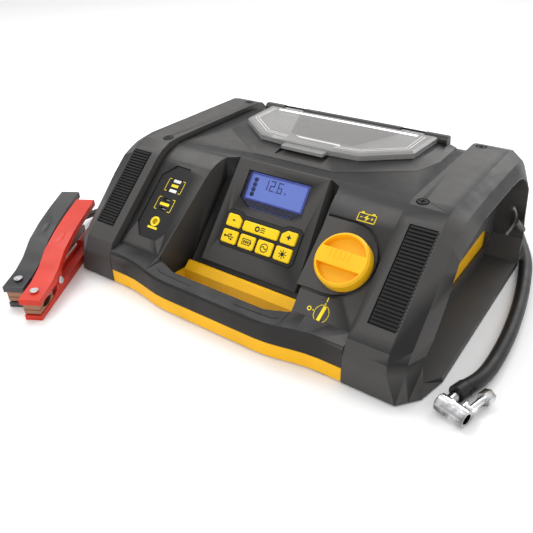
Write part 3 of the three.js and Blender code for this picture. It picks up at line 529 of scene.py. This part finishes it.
# Each clamp cable leaves the left recess to the rear and comes back outside, to its clamp.
RED_ROUTE = [
    (-186.4, -38, 12.4), (-186.4, -15, 12.3), (-186.4, 15, 12.3), (-186.4, 45, 12.3),
    (-186.6, 66, 12.3), (-188.2, 80, 12.3), (-193.2, 91, 12.1), (-202, 98, 10.8),
    (-212.4, 99.4, 7), (-222.6, 96, 4.8), (-230.6, 87.6, 4.3), (-234.6, 75, 4.3),
    (-235.2, 55, 4.3), (-235.2, 25, 4.3), (-234.8, -5, 4.3), (-234, -30, 4.6),
    (-233.2, -50, 6.4), (-230, -67.6, 9.6), (-225.1, -82.6, 12.4), (-215.9, -99.2, 13.8),
    (-206.2, -116.7, 14.2),
]
BLACK_ROUTE = [
    (-174.8, -38, 12.4), (-174.8, -15, 12.3), (-174.8, 15, 12.3), (-174.8, 45, 12.3),
    (-175.2, 68, 12.3), (-178.2, 85.6, 12.3), (-185.4, 99.4, 12.3), (-197, 108.2, 11.2),
    (-211, 111.6, 6.8), (-226, 110, 4.5), (-240.4, 103.4, 4.3), (-252, 92, 4.3),
    (-259.4, 75, 4.3), (-262, 55, 4.3), (-263, 25, 4.3), (-263.4, -5, 4.3),
    (-263, -30, 4.8), (-262.4, -49, 6.8), (-259.6, -64, 9.8), (-256.2, -78.3, 12.4),
    (-247.0, -94.9, 13.8), (-237.3, -112.4, 14.2),
]

CABLES = {"red": (RED_ROUTE, "cable_red"), "black": (BLACK_ROUTE, "hose_rubber")}


def make_cords():
    hose, length = tube("air_hose_look", HOSE_ROUTE, HOSE_RADIUS, "case", "hose_rubber", ["air_hose"])
    for colour, (route, slot) in CABLES.items():
        name = f"{colour}_cable"
        cable, length = tube(name + "_look", route, CABLE_RADIUS, "case", slot, [name])


# ------------------------------------------------------------------ the case
def make_case():
    """The two shells, their end caps with pads and screws, and the painted groove shadows on the handle."""
    refine("top_housing", 0.0011, degrees=24, smooth=15, merge=1.0)
    refine("base_tub", 0.0009, degrees=24, merge=0.5)
    handle_lines()
    for side in ("left", "right"):
        refine(side + "_end_cap", 0.0014, segments=3, degrees=14, smooth=22, merge=1.0)
        grip_pad(side)
        for i in (1, 2):
            refine(f"{side}_cap_screw_{i}", 0.0003, segments=1)


HANDLE_LINE = ((70, -130.6), (64, -133.2), (56, -133.4), (44, -134), (34, -134.4), (25, -134.6))
LINE_HALF = 0.4
LINE_DEPTH = 0.5
LINE_RISE = 0.12


def handle_lines():
    """Painted shadow: two fine dark strips where grooves run along the top of the carry handle, left and
    right of its middle.
    """
    housing = NODES["top_housing"].data
    corners = [vertex.co for vertex in housing.vertices]
    surface = BVHTree.FromPolygons(corners, [face.vertices for face in housing.polygons])

    def height_at(x, y):
        hit = surface.ray_cast(Vector((x, y, 100)) * MM, Vector((0, 0, -1)))
        return hit[0].z / MM

    parts = []
    for side in (-1, 1):
        for (x0, y0), (x1, y1) in zip(HANDLE_LINE, HANDLE_LINE[1:]):
            z0 = height_at(side * x0, y0)
            z1 = height_at(side * x1, y1)
            levels = []
            for rise in (-LINE_DEPTH, LINE_RISE):
                levels.append([
                    (side * x0, y0 - LINE_HALF, z0 + rise),
                    (side * x0, y0 + LINE_HALF, z0 + rise),
                    (side * x1, y1 + LINE_HALF, z1 + rise),
                    (side * x1, y1 - LINE_HALF, z1 + rise),
                ])
            parts.append(loft(*levels))
    add_piece("handle_lines", solid_mesh("handle_lines", parts), "case", PAINTED_GROOVE_SHADOW)


PAD_RIBS = 27
PAD_INNER, PAD_OUTER = 143.6, 166.7  # across, from the middle of the pack
RIB_INNER, RIB_OUTER = 144.5, 168.2
PAD_LOW, PAD_HIGH = -154.1, -67.7  # along the slope of the end cap
RIB_FOOT = -1.9
RIB_TOP = 0.45


def grip_pad(side):
    """A rubber strip of close ribs with chamfered tops."""
    sign = 1 if side == "right" else -1
    inner, outer = sorted((sign * PAD_INNER, sign * PAD_OUTER))
    ends = sorted((sign * RIB_INNER, sign * RIB_OUTER))
    pitch = (PAD_HIGH - PAD_LOW - 1.0) / PAD_RIBS
    half = pitch * 0.3
    profile = [
        (-half, RIB_FOOT),
        (-half, 0),
        (-half * 0.6, RIB_TOP),
        (half * 0.6, RIB_TOP),
        (half, 0),
        (half, RIB_FOOT),
    ]
    parts = [rectangle(inner, outer, PAD_LOW, PAD_HIGH, PAD_BASE)]
    for i in range(PAD_RIBS):
        s = PAD_LOW + 0.5 + pitch * (i + 0.5)
        near, far = [[(x, s + along, height) for along, height in profile] for x in ends]
        parts.append(loft(near, far))
    name = side + "_grip_pad"
    mesh = solid_mesh(name + "_look", parts, CAP_FACE)
    piece = add_piece(name + "_look", mesh, "case", MATERIALS["pad_rubber"], [name])
    soften(piece, 0.00025, segments=1, degrees=50)


# ------------------------------------------------------------------ display
SEGMENTS = {"1": "bc", "2": "abged", "6": "acdefg"}
DIGITS = (("1", -16.4), ("2", -8.6), ("6", 0.2))
DIGIT_FOOT = -55
DIGIT_HEIGHT = 10.6
SEGMENT_GAP = 0.15


def digit(value, x, s, height, layer):
    """A seven-segment digit with its lower left corner at x, s."""
    right = x + height * 0.5
    top = s + height
    middle = s + height / 2
    thick = height * 0.1
    bars = {
        "a": (x, right, top - thick, top),
        "g": (x, right, middle - thick / 2, middle + thick / 2),
        "d": (x, right, s, s + thick),
        "f": (x, x + thick, middle + SEGMENT_GAP, top - SEGMENT_GAP),
        "e": (x, x + thick, s + SEGMENT_GAP, middle - SEGMENT_GAP),
        "b": (right - thick, right, middle + SEGMENT_GAP, top - SEGMENT_GAP),
        "c": (right - thick, right, s + SEGMENT_GAP, middle - SEGMENT_GAP),
    }
    return [rectangle(*bars[name], layer) for name in SEGMENTS[value]]


def display_mask():
    """The dark frame that closes the display against its window."""
    mask = [
        rectangle(-35.6, -33.3, -67.6, -40.4, DISPLAY_MASK),
        rectangle(33.3, 35.6, -67.6, -40.4, DISPLAY_MASK),
        prism([(-35.6, -67.7), (-24.2, -74.6), (24.2, -74.6), (35.6, -67.7)], DISPLAY_MASK),
    ]
    printed("display_mask", mask, CONSOLE, "case", MASK_BLUE)


def display_border():
    """The brighter edge of the lit area."""
    sides = (
        (-33, 33, -42.2, -41.1),
        (-33, 33, -67.4, -66.3),
        (-33, -31.6, -67.4, -41.1),
        (31.6, 33, -67.4, -41.1),
    )
    border = [rectangle(*side, DISPLAY_PRINT) for side in sides]
    printed("display_border", border, CONSOLE, "case", BORDER_BLUE)


def display_digits():
    """The voltage, its unit, and the battery gauge on the left."""
    marks = []
    for value, x in DIGITS:
        marks += digit(value, x, DIGIT_FOOT, DIGIT_HEIGHT, DISPLAY_PRINT)
    marks.append(rectangle(-1.6, -0.7, DIGIT_FOOT, -54.1, DISPLAY_PRINT))
    marks += stroke([(8.6, -52.6), (9.6, -54.6), (10.6, -52.6)], 0.5, DISPLAY_PRINT)
    for i in range(4):
        s = -45.4 - i * 4.9
        marks.append(rectangle(-28.4, -23.4, s - 3.6, s, DISPLAY_PRINT))
        marks.append(rectangle(-27.2, -24.6, s - 4.2, s + 0.4, DISPLAY_PRINT))
    marks += stroke([(-30.2, -43.6), (-30.2, -65.2)], 0.35, DISPLAY_PRINT)
    printed("display_digits", marks, CONSOLE, "case", INK_BLUE)


def make_display():
    refine("lcd_window", 0.0003, segments=1)
    refine("lcd_module", 0.0003, segments=1)
    display_mask()
    display_border()
    display_digits()


# ------------------------------------------------------------------ keys
KEYS = ("key_minus", "key_air", "key_plus", "key_usb", "key_battery", "key_alternator", "key_light")
LOWER_KEYS = -108.4  # the middle of the lower row, up the slope
LOWER_KEY_PLACES = (-31.3, -10.4, 10.4, 31.3)


def make_keys():
    refine("keypad_mat", 0.0004)
    for key in KEYS:
        refine(key, 0.0005, segments=3, degrees=20)
    usb, battery, alternator, light = LOWER_KEY_PLACES
    signs = {
        "key_minus": minus_sign(),
        "key_plus": plus_sign(),
        "key_air": air_sign(0, -93.4),
        "key_usb": usb_sign(usb, LOWER_KEYS),
        "key_battery": battery_sign(battery, LOWER_KEYS),
        "key_alternator": alternator_sign(alternator, LOWER_KEYS),
        "key_light": light_sign(light, LOWER_KEYS),
    }
    for key, parts in signs.items():
        printed(key + "_sign", parts, CONSOLE, key, INK_BLACK)


def minus_sign():
    return [rectangle(-33.6, -30.6, -92.6, -91.2, KEY_PRINT)]


def plus_sign():
    return [
        rectangle(29.7, 34.5, -92.6, -91.2, KEY_PRINT),
        rectangle(31.4, 32.8, -94.3, -89.5, KEY_PRINT),
    ]


def air_sign(x, s):
    """A tyre with three puffs of air."""
    parts = [ring(x - 3.4, s, 2.8, 1.3, KEY_PRINT)]
    for i in range(3):
        puff = s - 1.9 + i * 1.9
        parts += stroke([(x + 0.6, puff), (x + 2.8, puff + 0.5), (x + 5, puff)], 0.8, KEY_PRINT)
    return parts


def usb_sign(x, s):
    """A stem with two branches that end in a square and a dot."""
    parts = stroke([(x - 5, s), (x + 4.8, s)], 0.9, KEY_PRINT)
    parts += stroke([(x - 2.8, s), (x - 1, s + 2.2), (x + 1, s + 2.2)], 0.8, KEY_PRINT)
    parts += stroke([(x - 1, s), (x + 0.8, s - 2.2), (x + 2.6, s - 2.2)], 0.8, KEY_PRINT)
    parts.append(disc(x - 5, s, 1.3, KEY_PRINT))
    parts.append(rectangle(x + 0.8, x + 2.5, s + 1.3, s + 3, KEY_PRINT))
    parts.append(disc(x + 3, s - 2.2, 1.05, KEY_PRINT))
    return parts


def battery_sign(x, s):
    """A battery lying down, with three bars of charge."""
    parts = outlined_box(x, s, 4.8, 4.2, 2.6, 0.8, KEY_PRINT)
    parts.append(rectangle(x + 4.6, x + 5.7, s - 1.2, s + 1.2, KEY_PRINT))
    for i in range(3):
        bar = i * 2.3
        parts.append(rectangle(x - 3.4 + bar, x - 1.8 + bar, s - 1.3, s + 1.3, KEY_PRINT))
    return parts


def alternator_sign(x, s):
    """One wave in a circle."""
    wave = [(x - 2.6 + i * 0.4, s + 1.1 * math.sin(i * 0.48)) for i in range(14)]
    return [ring(x, s, 4.4, 3.5, KEY_PRINT), *stroke(wave, 0.85, KEY_PRINT)]


def light_sign(x, s):
    """A dot with eight rays."""
    parts = [disc(x, s, 1.9, KEY_PRINT)]
    for i in range(8):
        angle = i * math.pi / 4
        near = (x + 2.5 * math.cos(angle), s + 2.5 * math.sin(angle))
        far = (x + 4 * math.cos(angle), s + 4 * math.sin(angle))
        parts += stroke([near, far], 0.8, KEY_PRINT)
    return parts


# ------------------------------------------------------------------ knob and sockets
KNOB_X, KNOB_S = 104.4, -108.4  # across, and up the slope of the face
DIAL_X, DIAL_S = 102.2, -153.9
BATTERY_X, BATTERY_S = 104.5, -64.6
UPPER_USB = (-101.2, -86.4)
LOWER_USB = (-102.6, -107.6)
JACK_X, JACK_S = -103.2, -127.3


def make_faces():
    refine("jump_start_knob", 0.0011, segments=3, degrees=24)
    refine("rotary_switch", 0.0006)
    knob_ridges()
    print_dial()
    print_battery()
    for i in (1, 2):
        refine(f"usb_sockets_{i}", 0.0002, segments=1)
    refine("port_panel", 0.0004)
    refine("dc_input_jack", 0.0003)
    print_sockets()
    usb_tongues()


def knob_ridges():
    """Five raised ridges across the grip bar of the knob."""
    ridges = []
    for i in range(5):
        x = KNOB_X - 11 + i * 4.3
        ridges.append(rectangle(x - 0.75, x + 0.75, KNOB_S - 0.4, KNOB_S + 6.6, KNOB_RIDGE))
    piece = printed("knob_ridges", ridges, FACE, "knob", MATERIALS["knob_yellow"])
    soften(piece, 0.0003)


def print_dial():
    """The small picture of the knob with its two positions."""
    x, s = DIAL_X, DIAL_S
    turns = [i * math.pi / 24 for i in range(49)]
    rim = [(x + 6.5 * math.cos(turn), s + 7.6 * math.sin(turn)) for turn in turns]
    dial = stroke(rim, 0.75, FACE_PRINT)
    dial += stroke([(x + 0.7, s + 5.2), (x - 0.5, s - 5.4)], 3, FACE_PRINT)
    dial.append(disc(x + 0.2, s + 9, 0.6, FACE_PRINT))
    dial.append(disc(x - 8, s + 0.7, 0.6, FACE_PRINT))
    dial += stroke([(x + 0.5, s + 11.2), (x + 0.5, s + 14.4)], 0.9, FACE_PRINT)
    dial.append(ring(x - 11.8, s + 1, 2, 1.1, FACE_PRINT))
    printed("switch_dial_print", dial, FACE, "case", INK_YELLOW)


def print_battery():
    """A battery with a lightning bolt, a minus post and a plus post, above the knob."""
    x, s = BATTERY_X, BATTERY_S
    bolt = [
        (x - 2.6, s - 0.3),
        (x + 1, s + 3.4),
        (x + 0.4, s + 0.5),
        (x + 2.6, s + 0.3),
        (x - 1, s - 3.4),
        (x - 0.4, s - 0.5),
    ]
    parts = [prism(bolt, FACE_PRINT), *outlined_box(x, s, 8, 8, 3.6, 0.8, FACE_PRINT)]
    for side in (-1, 1):
        post = x + side * 5
        parts.append(rectangle(post - 1.3, post + 1.3, s + 4, s + 5.2, FACE_PRINT))
        parts.append(rectangle(post - 1.1, post + 1.1, s - 0.4, s + 0.4, FACE_PRINT))
    parts.append(rectangle(x + 4.6, x + 5.4, s - 1.1, s + 1.1, FACE_PRINT))
    printed("battery_print", parts, FACE, "case", INK_YELLOW)


def print_sockets():
    """A bracket on each side of each socket pair, a bar between its sockets, and a ring around the jack."""
    frames = []
    for (x, s), half in ((UPPER_USB, 4.4), (LOWER_USB, 6)):
        for side in (-1, 1):
            edge = x + side * 10.5
            bend = edge - side * 2.8
            corners = [(bend, s + 6.8), (edge, s + 6.8), (edge, s - 6.8), (bend, s - 6.8)]
            frames += stroke(corners, 0.6, PORT_PRINT)
        frames.append(rectangle(x - half, x + half, s - 1.5, s + 1.5, PORT_PRINT))
    frames.append(ring(JACK_X, JACK_S, 5, 4.1, PORT_PRINT, 40))
    frames.append(rectangle(-109.6, -97, -135.2, -133, PORT_PRINT))
    printed("socket_print", frames, FACE, "case", INK_YELLOW)


def usb_tongues():
    """The white contact tongue in each socket of the upper pair."""
    tongues = []
    for side in (-1, 1):
        middle = UPPER_USB[1] + side * 5.4
        tongues.append(rectangle(-105.8, -96.6, middle - 1.6, middle + 1.6, PORT_TONGUE))
    printed("usb_tongues", tongues, FACE, "case", WHITE_PLASTIC)


# ------------------------------------------------------------------ work light
def make_lamp():
    refine("lamp_reflector", 0.0006)
    refine("lamp_led_board", 0.0002, segments=1)
    refine("lamp_lens", 0.0008)
    refine("lamp_hinge_pin", 0.0002, segments=1)
    lens_layer("lens_panel", lens_panel(), LENS_PANEL)
    # Painted highlights along the rim and the front bar of the lens.
    lens_layer("lens_rim_highlights", lens_rim_highlights(), LENS_HIGHLIGHT)
    lens_layer("lens_light", [rectangle(-84, 84, 96.4, 100.4, LENS_PRINT)], LED_WHITE)


def lens_layer(name, parts, material):
    """A thin layer on top of the lens that turns with it."""
    add_piece(name, solid_mesh(name, parts), "lens", material)


def lens_panel():
    return [prism([(-30, 40), (42, 40), (66, 95), (-54, 95)], LENS_PRINT)]


def lens_rim_highlights():
    """Painted highlights: two bright lines inside the edge of the lens, where light catches its inner ledge,
    and a bright bar for the raised bar along its front.
    """
    rim = []
    for inwards in (4.2, 7.4):
        run = [
            (96 - inwards, 100),
            (95.5 - inwards, 60 + inwards * 0.4),
            (56 - inwards * 0.4, 27.5 + inwards),
            (28, 24 + inwards),
        ]
        rim += stroke(run, 0.7, LENS_PRINT)
        rim += stroke([(-x, y) for x, y in run], 0.7, LENS_PRINT)
    rim.append(prism([(-22, 37), (-15, 33), (32, 33), (30, 36), (-14, 36)], LENS_PRINT))
    return rim


# ------------------------------------------------------------------ hose end, clamps and the rest
CLAMP_PLACES = {"red": (-147.5, -222.5), "black": (-178.6, -218.2)}
CLAMP_TURN = math.radians(29)
RIVET_Y = 13  # along the clamp, from the tip of its jaws

CORD_END_EDGES = {
    "hose_outlet": 0.0008,
    "hose_strain_relief": 0.0006,
    "hose_ferrule": 0.0006,
    "chuck_body": 0.0004,
    "chuck_lever": 0.0004,
    "cable_gland": 0.0008,
}
CLAMP_EDGES = {
    "upper_arm": 0.0008,
    "lower_arm": 0.0008,
    "upper_jaw": 0.0003,
    "lower_jaw": 0.0003,
    "spring": 0.0004,
    "pin": 0.0003,
}
INSIDE_AND_FEET = (
    "battery",
    "battery_bracket",
    "compressor_motor",
    "compressor_pump",
    "control_board",
    "front_foot_strip",
    "rear_foot_strip",
)


def rivet_cap(colour):
    """The bright head on the rivet that holds the upper jaw."""
    x, y = CLAMP_PLACES[colour]
    place = Matrix.Translation(Vector((x, y, 0)) * MM) @ Matrix.Rotation(CLAMP_TURN, 4, "Z")
    head = [disc(0, RIVET_Y, 4.1, (25.4, 26), 28), disc(0, RIVET_Y, 3.2, (26, 26.5), 28)]
    body = BODY_OF[f"{colour}_clamp_upper_arm"]
    piece = printed(colour + "_rivet_cap", head, place, body, MATERIALS["pin_steel"])
    soften(piece, 0.0003)


def make_rest():
    for node, width in CORD_END_EDGES.items():
        refine(node, width)
    for colour in ("red", "black"):
        for part, width in CLAMP_EDGES.items():
            refine(f"{colour}_clamp_{part}", width)
        rivet_cap(colour)
    for node in INSIDE_AND_FEET:
        refine(node, 0.0006, segments=1)


# ------------------------------------------------------------------ floor and light
FLOOR_HALF = 30
FLOOR_WHITE = (0.96, 0.96, 0.96)
ROOM_LIGHT = 0.82
AIM = Vector((0, 0, 0.05))
LAMPS = (  # name, place, size in metres, watts
    ("key", (-0.8, 0.2, 1.4), 0.8, 12),
    ("front", (-0.2, -1.5, 1.3), 1.0, 5),
    ("rim", (0.3, 1.2, 1.0), 1.0, 9),
)


def make_floor():
    mesh = bpy.data.meshes.new("floor")
    corners = [(-1, -1, 0), (1, -1, 0), (1, 1, 0), (-1, 1, 0)]
    mesh.from_pydata([Vector(corner) * FLOOR_HALF for corner in corners], [], [(0, 1, 2, 3)])
    floor = bpy.data.objects.new("floor", mesh)
    bpy.context.scene.collection.objects.link(floor)
    material, _ = new_material("floor", FLOOR_WHITE, 0.9)
    mesh.materials.append(material)


def make_light():
    world = bpy.data.worlds.new("studio")
    world.use_nodes = True
    background = world.node_tree.nodes["Background"]
    background.inputs["Color"].default_value = (1, 1, 1, 1)
    background.inputs["Strength"].default_value = ROOM_LIGHT
    bpy.context.scene.world = world
    bpy.context.scene.view_settings.view_transform = "Standard"
    for name, place, size, power in LAMPS:
        data = bpy.data.lights.new(name, "AREA")
        data.size = size
        data.energy = power
        lamp = bpy.data.objects.new(name, data)
        lamp.location = place
        lamp.rotation_euler = (AIM - Vector(place)).to_track_quat("-Z", "Y").to_euler()
        bpy.context.scene.collection.objects.link(lamp)


make_camera()
make_rest()
make_cords()
make_case()
make_display()
make_keys()
make_faces()
make_lamp()
make_floor()
make_light()
